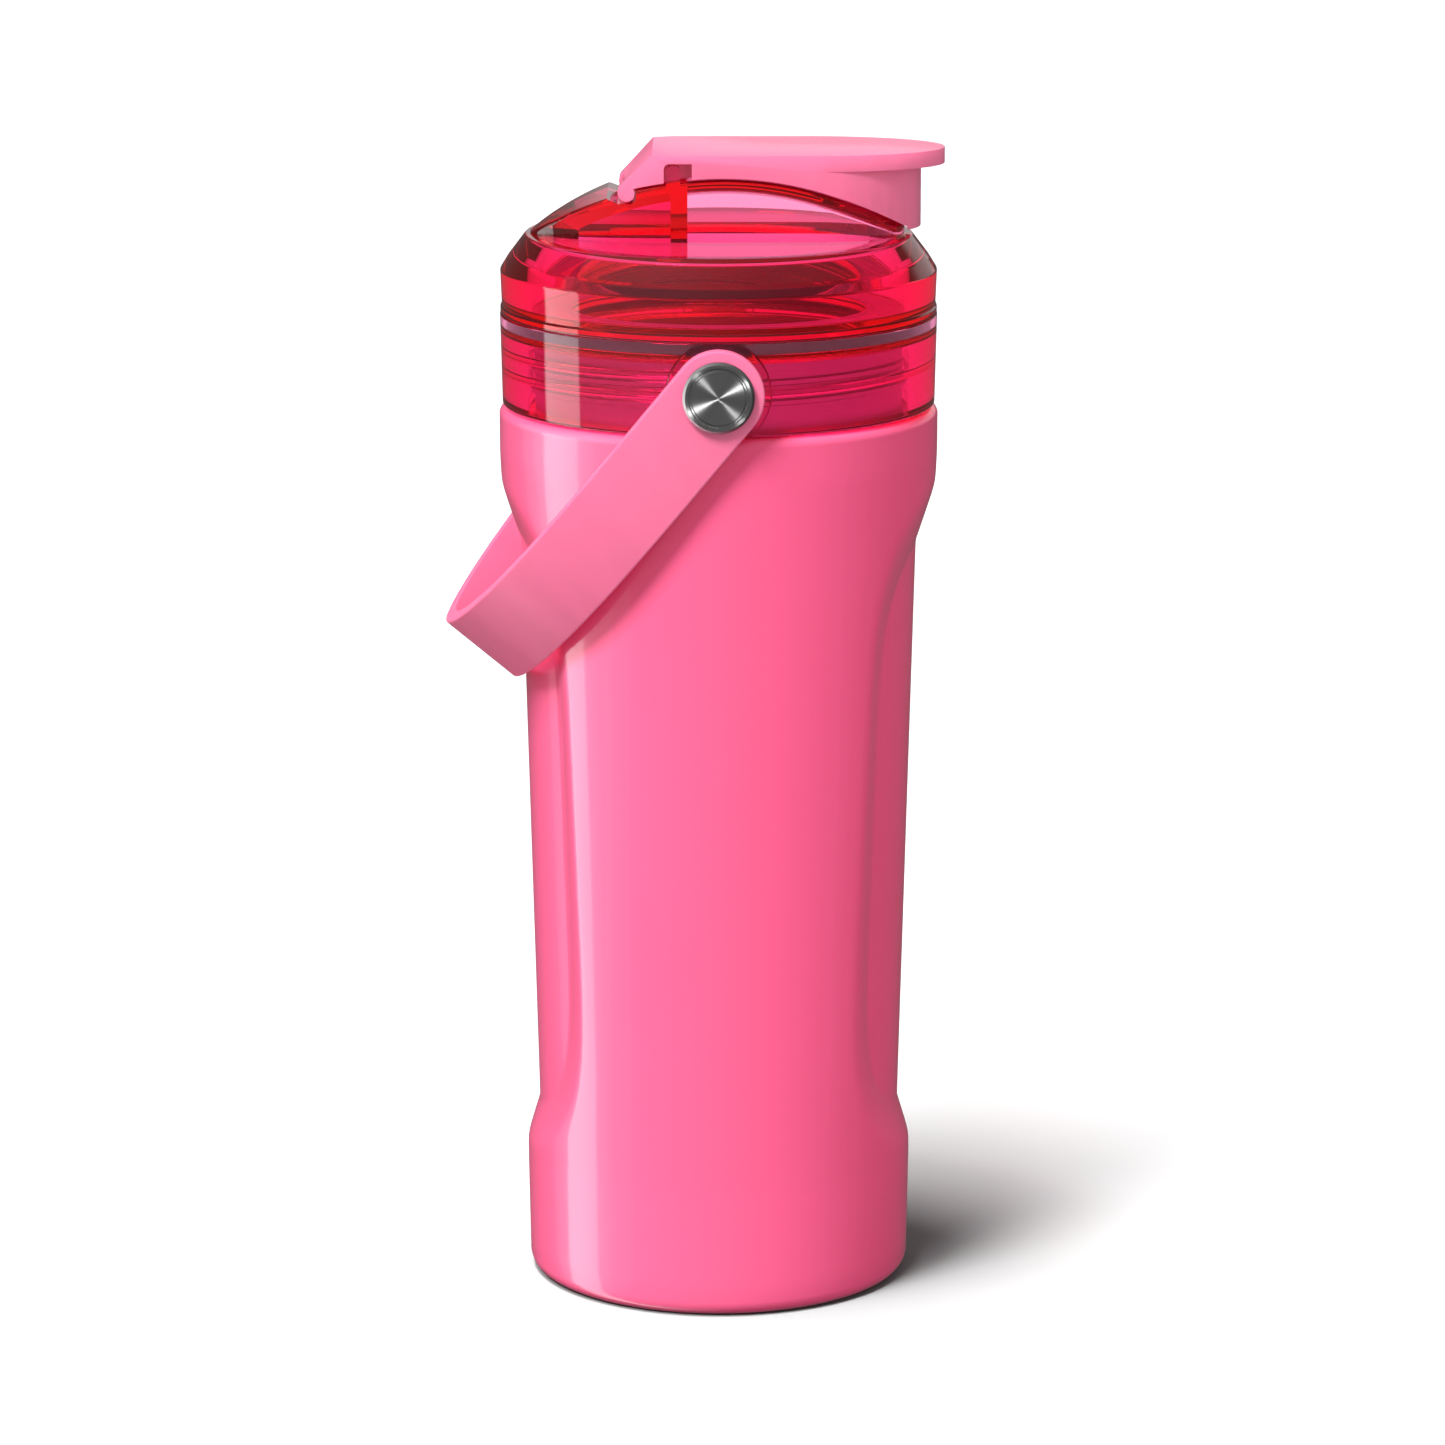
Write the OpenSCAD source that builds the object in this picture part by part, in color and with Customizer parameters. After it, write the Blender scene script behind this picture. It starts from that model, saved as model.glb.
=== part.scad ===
// Insulated protein shaker bottle: double-wall steel body with two side grips,
// translucent screw collar and lid, flip cap over the spout, swinging carry loop.
// Millimetres, +Z up. The origin is the centre of the base on the bottle's axis,
// +X is the side that the spout and the flip cap's tip point to, -Y is the front.

/* [Body] */
// Outer radius at the foot, above the rounded corner
foot_r = 39.1; // [37:0.1:40]
// Outer radius at the shoulder, just under the collar
shoulder_r = 44.2; // [43.8:0.1:45]
// Height of the steel body, up to the collar
body_h = 181.3; // [178:0.1:184]
// Wall of both steel cups
steel_wall = 0.8; // [0.6:0.1:1]
// Depth of the two side grips
grip_depth = 3.2; // [2:0.1:3.4]
// Half width of a grip's floor, measured round the body
grip_half = 26.6; // [22:0.1:28]

/* [Collar and lid] */
// Outer radius of the collar at its top
collar_r = 44.1; // [43.8:0.1:44.3]
// Height of the seam between the collar and the lid
seam_z = 200.2; // [200:0.1:200.4]
// Rise of the lid for one full turn
lid_lead = 8; // [6:1:10]
// Height of the lid's round deck
deck_z = 216.1; // [215:0.1:217]
// Top of the lid's arch
arch_z = 228.6; // [228:0.1:229]
// Half width of the arch
arch_half = 16; // [15:0.1:16]
// Inner radius of the spout
spout_r = 6.5; // [5:0.1:7]

/* [Flip cap] */
// Top face of the flip cap
cap_z = 233.4; // [233:0.1:235]
// Half width of the flip cap
cap_half = 16.5; // [16.4:0.1:17]
// Distance from the bottle's axis to the flip cap's tip
cap_tip = 45.4; // [43:0.1:47]

/* [Carry loop] */
// Height of the loop's pivots
pivot_z = 190.35; // [190:0.05:191]
// Distance from the pivots to the outside of the loop's tip
loop_reach = 76.8; // [76:0.1:80]
// Width of the strap
strap_w = 18; // [14:0.5:18]
// Thickness of the strap
strap_t = 3.2; // [2.4:0.1:3.4]
// Angle that the loop hangs below the horizontal at rest
loop_angle = 50.5; // [47:0.5:50.5]

/* [Hidden] */

$fn = 128;
EPS = 0.01;

// Colours
coat_pink = [1.0, 0.33, 0.55];
clear_pink = [0.95, 0.15, 0.35, 0.6];
cap_pink = [1.0, 0.47, 0.65];
loop_pink = [0.98, 0.55, 0.70];
gasket_brown = [0.30, 0.10, 0.12];
bare_steel = [0.78, 0.78, 0.80];

// Steel body
foot_corner = 3;
cone_z0 = 26;
cone_r0 = foot_r + 0.5;
cone_z1 = 168;
crown_z = 176;
shoulder_corner = 2;
neck_r = 37;
neck_top = 195.5;
base_recess_r = 33;
base_recess_z = 3;
grip_top = 165.6;
grip_bottom = 27.4;
grip_floor_top = 153.8;
grip_floor_bottom = 35.8;
grip_mouth_half = 33.5;
grip_side_power = 0.8;
grip_end_power = 0.34;
grip_points = 48;
liner_wall = 0.7;
liner_foot_r = 34;
liner_foot_z = 8;
liner_corner = 7;
liner_body_r = 38.1;
liner_body_z = 170;
liner_neck_r = 35.4;
liner_neck_z = 181;
seal_hole_r = 1.5;
getter_r = 4;
getter_x = 15;

// Threads: half widths at root and crest
thread_root = 0.9;
thread_crest = 0.4;
thread_steps = 48;
neck_thread_crest = 37.9;
neck_thread_lead = 4;
neck_thread_z = 184.4;
collar_thread_crest = 37.45;
lid_thread_z = 189.6;
lid_thread_crest = 32.2;
throat_thread_crest = 32;

// Collar
collar_z = body_h + 0.3;
collar_foot_r = collar_r - 0.45;
collar_bore_r = 38.4;
ledge_z = 197.6;
ledge_t = 1.2;
rim_inner_r = 42.9;
gasket_w = 2.1;
throat_r = 32.9;
throat_outer_r = 34.4;
throat_z = 186;
boss_r = 10.4;
boss_y = 44.5;

// Lid
lid_foot_z = seam_z + 0.1;
lid_rim_h = 1.2;
lid_wall_r = 43.7;
lid_wall_top = 209;
lid_bore_r = 37.6;
lid_ceiling_r = 35.5;
deck_r = 38.9;
deck_t = 2.2;
skirt_outer_r = 31.4;
skirt_inner_r = 29.6;
skirt_z = 187.5;
floor_t = 2;
arch_r = 68;
arch_cx = 1;
arch_wall = 1.8;
arch_tip = 37.4;
arch_end = -38.5;
arch_taper_x = -10;
arch_taper_power = 1.7;
pocket_depth = 4;
pocket_half = 9;
pocket_x0 = -28;
window_x0 = -8;
spout_x = 27;
spout_wall = 1.8;
spout_top = 228;
post_x0 = -10.4;
post_t = 2.8;
post_foot = 224;
post_top = 231.4;

// Flip cap and its hinge
hinge_x = -18.4;
hinge_z = 225.6;
knuckle_r = 1.7;
knuckle_gap = 0.3;
ear_half = 5.5;
pin_r = 0.9;
pin_half = 12;
pin_clearance = 0.06;
cap_plate_t = 3.2;
cap_round_x = 19;
cap_skirt_tip = 40.65;
cap_wall = 1.7;
cap_gap = 0.35;
cap_lip_z = 217.6;
cap_slope_x = -13.25;
cap_slope = 46.1;
cap_hollow_x = -4;
cap_tail = [[-9, 0], [-13.5, 1.3], [-22, 4.7]];
relief_run = 4.2;
relief_drop = 0.4;
notch_x0 = -10.9;
notch_x1 = -5.3;
notch_top = 231.8;
seal_peg_r = 2.5;

// Carry loop and its pivots
loop_inner_half = 44.8;
loop_power = 3.45;
loop_tip_power = 0.58;
bush_r = 3.5;
bush_clearance = 0.05;
shank_r = 1.6;
screw_head_r = 4.2;
screw_head_h = 0.6;
insert_r = 3.2;
insert_y0 = collar_bore_r + 2;
button_r = 7.04;
button_y0 = 48.2;
button_y1 = 49.7;

// Mixing ball
ball_r = 21;
wire_r = 1;
wire_sides = 8;
ball_turns = 6;
ball_steps = 24;
ball_pole = 14;

// Points of an arc about (cx, cz), from angle a0 to a1
function arc(cx, cz, r, a0, a1, steps = 6) =
    [for (i = [0 : steps]) let (a = a0 + (a1 - a0) * i / steps) [cx + r * cos(a), cz + r * sin(a)]];

// Height of the arch's top at a distance x along it, lowered by a wall d
function arch_at(x, d = 0) = arch_z - arch_r + sqrt(pow(arch_r - d, 2) - pow(x - arch_cx, 2));

// Half width of the carry loop at a distance s from its pivots
function loop_half(s, reach, half) =
    half * pow(max(0, 1 - pow(s / reach, loop_power)), loop_tip_power);

// A helical ridge. root and crest are radii, so crest < root gives an internal thread
module thread(root, crest, z0, lead, turns, starts = 1) {
    n = ceil(thread_steps * turns);
    for (s = [0 : starts - 1])
        rotate([0, 0, 360 * s / starts])
        polyhedron(
            points = [for (i = [0 : n]) let (
                a = 360 * turns * i / n,
                z = z0 + lead * turns * i / n,
                fade = max(0.1, min(1, i / 4, (n - i) / 4)),
                rc = root + (crest - root) * fade,
                side = crest > root ? 1 : -1)
                for (p = [[root, -thread_root * side], [rc, -thread_crest * side],
                          [rc, thread_crest * side], [root, thread_root * side]])
                [p[0] * cos(a), p[0] * sin(a), z + p[1]]],
            faces = concat(
                [[2, 1, 0], [3, 2, 0], [4 * n + 1, 4 * n + 2, 4 * n], [4 * n + 2, 4 * n + 3, 4 * n]],
                [for (i = [0 : n - 1]) for (k = [0 : 3]) let (b = 4 * i, m = (k + 1) % 4)
                    each [[b + 4 + m, b + 4 + k, b + k], [b + m, b + 4 + m, b + k]]]));
}

// Ring between two radii and two heights
module ring(r_in, r_out, z0, z1) {
    rotate_extrude() polygon([[r_in, z0], [r_out, z0], [r_out, z1], [r_in, z1]]);
}

// Round bar along Y between two distances, on the front (side -1) or the back (side 1)
module y_bar(r, y0, y1, side, steps = 64) {
    rotate([90, 0, 0]) translate([0, 0, side > 0 ? -y1 : y0]) cylinder(r = r, h = y1 - y0, $fn = steps);
}

// Outer radius of the steel body between its foot and its shoulder
function body_r(z) = cone_r0 + (shoulder_r - cone_r0) * (z - cone_z0) / (cone_z1 - cone_z0);

// One ring of points of a grip's cutter, at a depth d under the body's surface.
// The ring shrinks as it goes deeper, so the grip's side is a long even ramp.
function grip_ring(d, wall) = [for (i = [0 : grip_points - 1]) let (
    a = 360 * i / grip_points,
    q = d / grip_depth,
    half = grip_mouth_half + (grip_half - grip_mouth_half) * q + wall,
    top = grip_top + (grip_floor_top - grip_top) * q + wall,
    bottom = grip_bottom + (grip_floor_bottom - grip_bottom) * q - wall,
    z = (top + bottom) / 2 + (top - bottom) / 2 * sign(sin(a)) * pow(abs(sin(a)), grip_end_power),
    turn = half * sign(cos(a)) * pow(abs(cos(a)), grip_side_power) / body_r(z) * 180 / PI,
    r = body_r(z) - d - wall)
    [r * cos(turn), r * sin(turn), z]];

// Solid that a side grip is cut with, moved in by the wall
module grip_plug(wall) {
    rings = [for (q = [1.5, 1.15, 0.8, 0.45, 0.12, -0.25]) grip_ring(q * grip_depth, wall)];
    n = grip_points;
    last = len(rings);
    flare = [for (p = rings[last - 1]) [p[0] + 8, p[1], p[2]]];
    points = concat([for (k = [0 : last - 1]) each rings[k]], flare,
                    [[30, 0, 90], [56, 0, 90]]);
    polyhedron(points = points, faces = concat(
        [for (k = [0 : last - 1]) for (i = [0 : n - 1]) let (j = (i + 1) % n, b = k * n)
            each [[b + i, b + n + i, b + n + j], [b + i, b + n + j, b + j]]],
        [for (i = [0 : n - 1]) let (j = (i + 1) % n)
            each [[(last + 1) * n, i, j], [(last + 1) * n + 1, last * n + j, last * n + i]]]));
}

// Body of revolution that the grips are cut into, shrunk by the wall d
module body_round(d) {
    rotate_extrude() polygon(concat(
        [[0, d]],
        arc(foot_r - foot_corner, foot_corner, foot_corner - d, -90, 0),
        [[cone_r0 - d, cone_z0], [shoulder_r - 0.1 - d, cone_z1], [shoulder_r - d, crown_z]],
        arc(shoulder_r - shoulder_corner, body_h - shoulder_corner, shoulder_corner - d, 0, 90),
        [[0, body_h - d]]));
}

// Cone that the grips' floors lie on, shrunk by the wall d
module grip_floor(d) {
    slope = (shoulder_r - cone_r0) / (cone_z1 - cone_z0);
    floor_r = cone_r0 - grip_depth - d;
    rotate_extrude() polygon([[0, 0], [floor_r - slope * cone_z0, 0],
                              [floor_r + slope * (body_h - cone_z0), body_h], [0, body_h]]);
}

// Outside form of the steel body with both grips, shrunk by the wall d
module body_form(d) {
    difference() {
        body_round(d);
        for (a = [0, 180]) rotate([0, 0, a]) difference() {
            grip_plug(d);
            grip_floor(d);
        }
    }
}

module outer_shell() color(coat_pink) {
    difference() {
        union() {
            difference() {
                body_form(0);
                body_form(steel_wall);
                translate([0, 0, body_h - 5]) cylinder(r = neck_r, h = 10);
                translate([0, 0, -1]) cylinder(r = base_recess_r, h = 3);
            }
            ring(base_recess_r, base_recess_r + steel_wall, steel_wall / 2, base_recess_z + steel_wall);
            translate([0, 0, base_recess_z]) cylinder(r = base_recess_r + steel_wall / 2, h = steel_wall);
        }
        translate([0, 0, base_recess_z - 1]) cylinder(r = seal_hole_r, h = 3);
    }
}

module threaded_neck() color(bare_steel) {
    ring(neck_r - steel_wall, neck_r, body_h - steel_wall, neck_top);
    thread(neck_r - steel_wall / 2, neck_thread_crest, neck_thread_z, neck_thread_lead, 2);
}

module base_plate() color(bare_steel) {
    cylinder(r = base_recess_r, h = steel_wall);
    ring(base_recess_r - steel_wall, base_recess_r, steel_wall / 2, base_recess_z);
}

module vacuum_seal() color("dimgray") {
    translate([0, 0, base_recess_z]) cylinder(r = seal_hole_r, h = steel_wall);
    translate([0, 0, base_recess_z - 0.7]) cylinder(r1 = seal_hole_r, r2 = seal_hole_r + 1, h = 0.7);
}

module getter() color("gray") {
    translate([getter_x, 0, base_recess_z + steel_wall]) {
        cylinder(r = getter_r, h = 1.2);
        cylinder(r = getter_r - 1, h = 2);
    }
}

module inner_liner() color(bare_steel) {
    foot_in = liner_foot_r - liner_corner;
    floor_mid = liner_foot_z + liner_corner;
    rotate_extrude() polygon(concat(
        [[0, liner_foot_z]],
        arc(foot_in, floor_mid, liner_corner, -90, 0),
        [[liner_body_r, liner_body_z], [liner_neck_r, liner_neck_z],
         [liner_neck_r, neck_top - liner_wall],
         [neck_r - steel_wall, neck_top - liner_wall], [neck_r - steel_wall, neck_top],
         [liner_neck_r - liner_wall, neck_top], [liner_neck_r - liner_wall, liner_neck_z],
         [liner_body_r - liner_wall, liner_body_z]],
        arc(foot_in, floor_mid, liner_corner - liner_wall, 0, -90),
        [[0, liner_foot_z + liner_wall]]));
}

module neck_gasket() color("mistyrose") {
    ring(liner_neck_r - liner_wall + 0.3, neck_r + 0.9, neck_top, ledge_z - ledge_t);
}

module collar() color(clear_pink) {
    difference() {
        union() {
            rotate_extrude() polygon([
                [collar_bore_r, collar_z], [collar_foot_r - 0.3, collar_z], [collar_foot_r, collar_z + 0.4],
                [collar_r, seam_z - 0.6], [collar_r - 0.3, seam_z - 0.2], [rim_inner_r, seam_z - 0.2],
                [rim_inner_r, ledge_z], [throat_r, ledge_z], [throat_r, throat_z],
                [throat_outer_r, throat_z], [throat_outer_r, ledge_z - ledge_t],
                [collar_bore_r, ledge_z - ledge_t]]);
            intersection() {
                for (side = [-1, 1]) translate([0, 0, pivot_z])
                    y_bar(boss_r, collar_bore_r - 2, boss_y, side, 128);
                ring(rim_inner_r, boss_y + 6, collar_z, seam_z - 0.2);
            }
            thread(collar_bore_r + 0.4, collar_thread_crest, neck_thread_z + neck_thread_lead / 2,
                   neck_thread_lead, 1.8);
            thread(throat_r + 0.4, throat_thread_crest, lid_thread_z + lid_lead / 4, lid_lead, 0.5, 2);
        }
        for (side = [-1, 1]) translate([0, 0, pivot_z]) y_bar(insert_r, insert_y0, boss_y + 2, side);
    }
}

module lid_gasket() color(gasket_brown) {
    ring(rim_inner_r - gasket_w, rim_inner_r - 0.3, ledge_z, lid_foot_z);
}

// Half width of the lid's arch where it narrows towards its left end
function arch_tail(x) = pow(1 - pow((arch_taper_x - x) / (arch_taper_x - arch_end), arch_taper_power),
                            1 / arch_taper_power);

// Solid of the lid's arch between the tip and the left end, lowered by d, half width w
module arch_solid(d, w, x0, x1, z0) {
    steps = 24;
    intersection() {
        translate([0, w, 0]) rotate([90, 0, 0]) linear_extrude(2 * w)
            polygon(concat([[x0, z0]],
                [for (i = [0 : steps]) let (x = x0 + (x1 - x0) * i / steps) [x, arch_at(x, d)]],
                [[x1, z0]]));
        translate([0, 0, z0]) linear_extrude(40) tip_outline(x1, w,
            [for (i = [0 : 12]) let (x = arch_taper_x + (arch_end + 0.1 - arch_taper_x) * i / 12)
                [x, w * (1 - arch_tail(x))]]);
    }
}

// Plan outline with an oval end at tip. Each point of tail is a place towards the other
// end and how far the side has moved in there
module tip_outline(tip, half, tail) {
    n = len(tail);
    polygon(concat(
        [for (i = [n - 1 : -1 : 0]) [tail[i][0], half - tail[i][1]]],
        [for (a = [90 : -7.5 : -90]) [cap_round_x + (tip - cap_round_x) * cos(a), half * sin(a)]],
        [for (t = tail) [t[0], t[1] - half]]));
}

// Round bar across the lid on the hinge's axis
module hinge_bar(r, half) {
    translate([hinge_x, half, hinge_z]) rotate([90, 0, 0]) cylinder(r = r, h = 2 * half, $fn = 64);
}

// The lid without the middle ear of its hinge
module lid_shell() {
    difference() {
        union() {
            rotate_extrude() polygon([
                [0, lid_foot_z], [collar_r - 0.1, lid_foot_z], [collar_r - 0.1, lid_foot_z + lid_rim_h],
                [lid_wall_r, lid_foot_z + lid_rim_h + 0.4], [lid_wall_r + 0.2, lid_wall_top - 1],
                [lid_wall_r - 0.2, lid_wall_top + 0.6], [lid_wall_r - 1.2, lid_wall_top + 2.4],
                [lid_wall_r - 3, lid_wall_top + 4.8], [deck_r, deck_z], [0, deck_z]]);
            ring(skirt_inner_r, skirt_outer_r, skirt_z, lid_foot_z + 1);
            thread(skirt_outer_r - 0.4, lid_thread_crest, lid_thread_z, lid_lead, 0.5, 2);
            intersection() {
                arch_solid(0, arch_half, arch_end, arch_tip, deck_z - 1);
                translate([0, 0, deck_z - 2]) cylinder(r = deck_r, h = 20);
            }
            // snap posts that stand in the flip cap's notches
            for (y = [arch_half, post_t - arch_half]) translate([0, y, 0])
                rotate([90, 0, 0]) linear_extrude(post_t) polygon(concat(
                    [[post_x0, post_foot], [post_x0, post_top - post_t / 2]],
                    arc(post_x0 + post_t / 2, post_top - post_t / 2, post_t / 2, 180, 0),
                    [[post_x0 + post_t, post_foot]]));
            translate([spout_x, 0, arch_at(spout_x) - 3]) cylinder(r = spout_r + spout_wall,
                h = spout_top - arch_at(spout_x) + 3);
        }
        // hollow under the deck and down through the threaded skirt
        rotate_extrude() polygon([
            [0, skirt_z - 1], [skirt_inner_r, skirt_z - 1], [skirt_inner_r, lid_foot_z + floor_t],
            [lid_bore_r, lid_foot_z + floor_t], [lid_bore_r, lid_wall_top],
            [lid_ceiling_r, deck_z - deck_t], [0, deck_z - deck_t]]);
        // drinking chamber behind the window and the cored-out hinge end
        arch_solid(arch_wall, arch_half - arch_wall, window_x0 + arch_wall, arch_tip - arch_wall, deck_z - 5);
        intersection() {
            arch_solid(pocket_depth, pocket_half, pocket_x0, window_x0 - 1.5, deck_z - 5);
            translate([0, 0, deck_z - 6]) cylinder(r = deck_r - 3, h = 20);
        }
        translate([spout_x, 0, deck_z]) cylinder(r = spout_r, h = 20, $fn = 96);
        // trough that the flip cap's knuckles turn in, and room for its sloping end when open
        hull() {
            hinge_bar(knuckle_r + knuckle_gap, 20);
            translate([-relief_run, 0, -relief_drop]) hinge_bar(0.5, 20);
        }
    }
}

module lid() color(clear_pink) {
    difference() {
        union() {
            lid_shell();
            hinge_bar(knuckle_r, ear_half);
            translate([hinge_x - pin_r, -ear_half, hinge_z - 2.8]) cube([pin_r + 2.1, 2 * ear_half, 2.8]);
        }
        hinge_bar(pin_r, ear_half + 1);
    }
}

module hinge_pin() color(bare_steel) {
    hinge_bar(pin_r, pin_half);
}

// Side view of the flip cap: sloping back end, flat top, lower edge just over the arch
module cap_side_view() {
    steps = 24;
    polygon(concat(
        [[hinge_x, hinge_z],
         [hinge_x - knuckle_r * sin(cap_slope), hinge_z + knuckle_r * cos(cap_slope)],
         [cap_slope_x, cap_z], [cap_tip + 1, cap_z], [cap_tip + 1, cap_z - cap_plate_t],
         [cap_skirt_tip + 1, cap_z - cap_plate_t], [cap_skirt_tip + 1, cap_lip_z],
         [arch_tip + cap_gap + 0.1, cap_lip_z]],
        [for (i = [0 : steps]) let (x = arch_tip + cap_gap + 0.1 + (hinge_x - arch_tip - cap_gap) * i / steps)
            [x, arch_at(x, -cap_gap)]]));
}

module flip_cap() color(cap_pink) {
    difference() {
        union() {
            intersection() {
                translate([0, cap_half, 0]) rotate([90, 0, 0]) linear_extrude(2 * cap_half) cap_side_view();
                union() {
                    translate([0, 0, cap_z - cap_plate_t]) linear_extrude(cap_plate_t)
                        tip_outline(cap_tip, cap_half, cap_tail);
                    translate([0, 0, cap_lip_z - 1]) linear_extrude(cap_z - cap_lip_z - cap_plate_t + 1 + EPS)
                        difference() {
                            tip_outline(cap_skirt_tip, cap_half, cap_tail);
                            tip_outline(arch_tip + cap_gap, cap_half - cap_wall, [[cap_hollow_x, 0]]);
                        }
                }
            }
            intersection() {
                hinge_bar(knuckle_r, cap_half);
                translate([0, 0, hinge_z - 5]) linear_extrude(10) tip_outline(cap_tip, cap_half, cap_tail);
            }
            translate([spout_x, 0, cap_z - cap_plate_t - 1.6]) cylinder(r = seal_peg_r, h = 2.6);
        }
        // room for the lid's middle ear and the hinge pin
        hinge_bar(knuckle_r + knuckle_gap, ear_half + knuckle_gap);
        hinge_bar(pin_r + pin_clearance, pin_half + 0.1);
        // notches round the lid's two snap posts
        for (side = [-1, 1]) translate([0, side > 0 ? cap_half + 1 : -12.5, 0]) rotate([90, 0, 0])
            linear_extrude(cap_half - 11.5) polygon(concat(
                [[notch_x1, post_foot], [notch_x1, notch_top]],
                arc(notch_x0 + 1.2, notch_top - 1.2, 1.2, 90, 180), [[notch_x0, post_foot]]));
    }
}

module spout_seal() color("lightpink") {
    translate([spout_x, 0, 0]) difference() {
        union() {
            ring(0, spout_r + 1.2, spout_top + 0.3, cap_z - cap_plate_t);
            ring(0, spout_r - 0.3, spout_top - 3, spout_top + 0.4);
        }
        translate([0, 0, cap_z - cap_plate_t - 1.6]) cylinder(r = seal_peg_r, h = 3);
    }
}

// Plan of the carry loop: U shape that narrows to a rounded tip
module loop_outline(reach, half, back) {
    steps = 30;
    side = [for (i = [0 : steps]) let (s = reach * sin(90 * i / steps)) [s, loop_half(s, reach, half)]];
    polygon(concat([[-back, half]], side, [for (i = [1 : steps]) let (p = side[steps - i]) [p[0], -p[1]]],
                   [[-back, -half]]));
}

module carry_loop() color(loop_pink) {
    translate([0, 0, pivot_z]) rotate([0, 180 - loop_angle, 0]) difference() {
        intersection() {
            translate([0, 0, -strap_w / 2]) linear_extrude(strap_w) difference() {
                loop_outline(loop_reach, loop_inner_half + strap_t, strap_w / 2);
                loop_outline(loop_reach - strap_t, loop_inner_half, strap_w / 2 + 1);
            }
            union() {
                for (side = [-1, 1]) y_bar(strap_w / 2, loop_inner_half - 1, loop_inner_half + strap_t + 1, side);
                translate([0, -60, -strap_w]) cube([90, 120, 2 * strap_w]);
            }
        }
        for (side = [-1, 1]) y_bar(bush_r + bush_clearance, loop_inner_half - 1,
                                   loop_inner_half + strap_t + 1, side);
    }
}

// Unit vector along v
function unit(v) = v / norm(v);

// Centre line of the ball's wire, t from 0 at the lower pole to 1 at the upper one
function coil(t) = let (p = ball_pole + (180 - 2 * ball_pole) * t, a = 360 * ball_turns * t)
    ball_r * [sin(p) * cos(a), sin(p) * sin(a), -cos(p)];

// Wire wound into a ball: one continuous coil from pole to pole
module mixing_ball() {
    n = ball_turns * ball_steps;
    points = [for (i = [0 : n]) let (
        c = coil(i / n), ahead = unit(coil(i / n + 0.001) - coil(i / n - 0.001)),
        out = unit(c), side = cross(ahead, out))
        for (k = [0 : wire_sides - 1]) let (a = 360 * k / wire_sides)
        c + wire_r * (cos(a) * out + sin(a) * side)];
    ends = [[for (k = [0 : wire_sides - 1]) k], [for (k = [0 : wire_sides - 1]) wire_sides * (n + 1) - 1 - k]];
    skin = [for (i = [0 : n - 1]) for (k = [0 : wire_sides - 1])
        let (m = (k + 1) % wire_sides, b = wire_sides * i)
        each [[b + k, b + wire_sides + k, b + wire_sides + m], [b + k, b + wire_sides + m, b + m]]];
    color(bare_steel) translate([0, 0, liner_foot_z + liner_wall + ball_r + wire_r])
        polyhedron(points = points, faces = concat(ends, skin));
}

// The loop's pivots, front (side -1) and back (side 1)
module pivot_insert(side) color("goldenrod") translate([0, 0, pivot_z]) difference() {
    y_bar(insert_r, insert_y0, boss_y, side);
    y_bar(shank_r, insert_y0 - 1, boss_y + 1, side);
}

module pivot_bush(side) color("ivory") translate([0, 0, pivot_z]) difference() {
    y_bar(bush_r, boss_y, button_y0, side);
    y_bar(shank_r, boss_y - 1, button_y0 + 1, side);
}

module pivot_screw(side) color(bare_steel) translate([0, 0, pivot_z]) {
    y_bar(shank_r, insert_y0 + 0.2, button_y0 + 0.1, side);
    y_bar(screw_head_r, button_y0, button_y0 + screw_head_h, side);
}

module pivot_button(side) color("silver") translate([0, 0, pivot_z]) rotate([side > 0 ? -90 : 90, 0, 0])
    rotate_extrude() polygon([
        [screw_head_r, button_y0], [button_r - 0.3, button_y0], [button_r, button_y0 + 0.3],
        [button_r, button_y1 - 0.5], [button_r - 0.5, button_y1], [button_r - 1.1, button_y1],
        [button_r - 1.3, button_y1 - 0.25], [button_r - 1.6, button_y1 - 0.25],
        [button_r - 1.8, button_y1 - 0.05], [0, button_y1], [0, button_y0 + screw_head_h],
        [screw_head_r, button_y0 + screw_head_h]]);

outer_shell();
threaded_neck();
base_plate();
vacuum_seal();
getter();
inner_liner();
neck_gasket();
collar();
lid_gasket();
lid();
hinge_pin();
flip_cap();
spout_seal();
carry_loop();
mixing_ball();
pivot_insert(-1);  // front_insert
pivot_bush(-1);  // front_bush
pivot_screw(-1);  // front_screw
pivot_button(-1);  // front_button
pivot_insert(1);  // back_insert
pivot_bush(1);  // back_bush
pivot_screw(1);  // back_screw
pivot_button(1);  // back_button
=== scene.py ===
import math

import bmesh
import bpy
import numpy as np
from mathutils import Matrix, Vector


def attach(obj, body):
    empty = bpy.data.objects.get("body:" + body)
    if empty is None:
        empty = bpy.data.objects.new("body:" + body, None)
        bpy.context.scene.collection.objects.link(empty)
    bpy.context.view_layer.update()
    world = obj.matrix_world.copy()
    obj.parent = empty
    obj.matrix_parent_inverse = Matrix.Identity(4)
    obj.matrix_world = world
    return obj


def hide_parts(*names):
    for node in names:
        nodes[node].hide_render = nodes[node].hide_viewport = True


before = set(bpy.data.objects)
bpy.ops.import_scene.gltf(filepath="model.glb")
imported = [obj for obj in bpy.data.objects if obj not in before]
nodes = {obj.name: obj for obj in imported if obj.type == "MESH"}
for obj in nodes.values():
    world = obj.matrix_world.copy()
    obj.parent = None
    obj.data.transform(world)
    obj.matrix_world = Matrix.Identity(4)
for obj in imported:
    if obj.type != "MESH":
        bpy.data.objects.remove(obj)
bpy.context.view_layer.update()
MM = 0.001
scene = bpy.context.scene
scene.view_settings.view_transform = "Standard"

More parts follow.
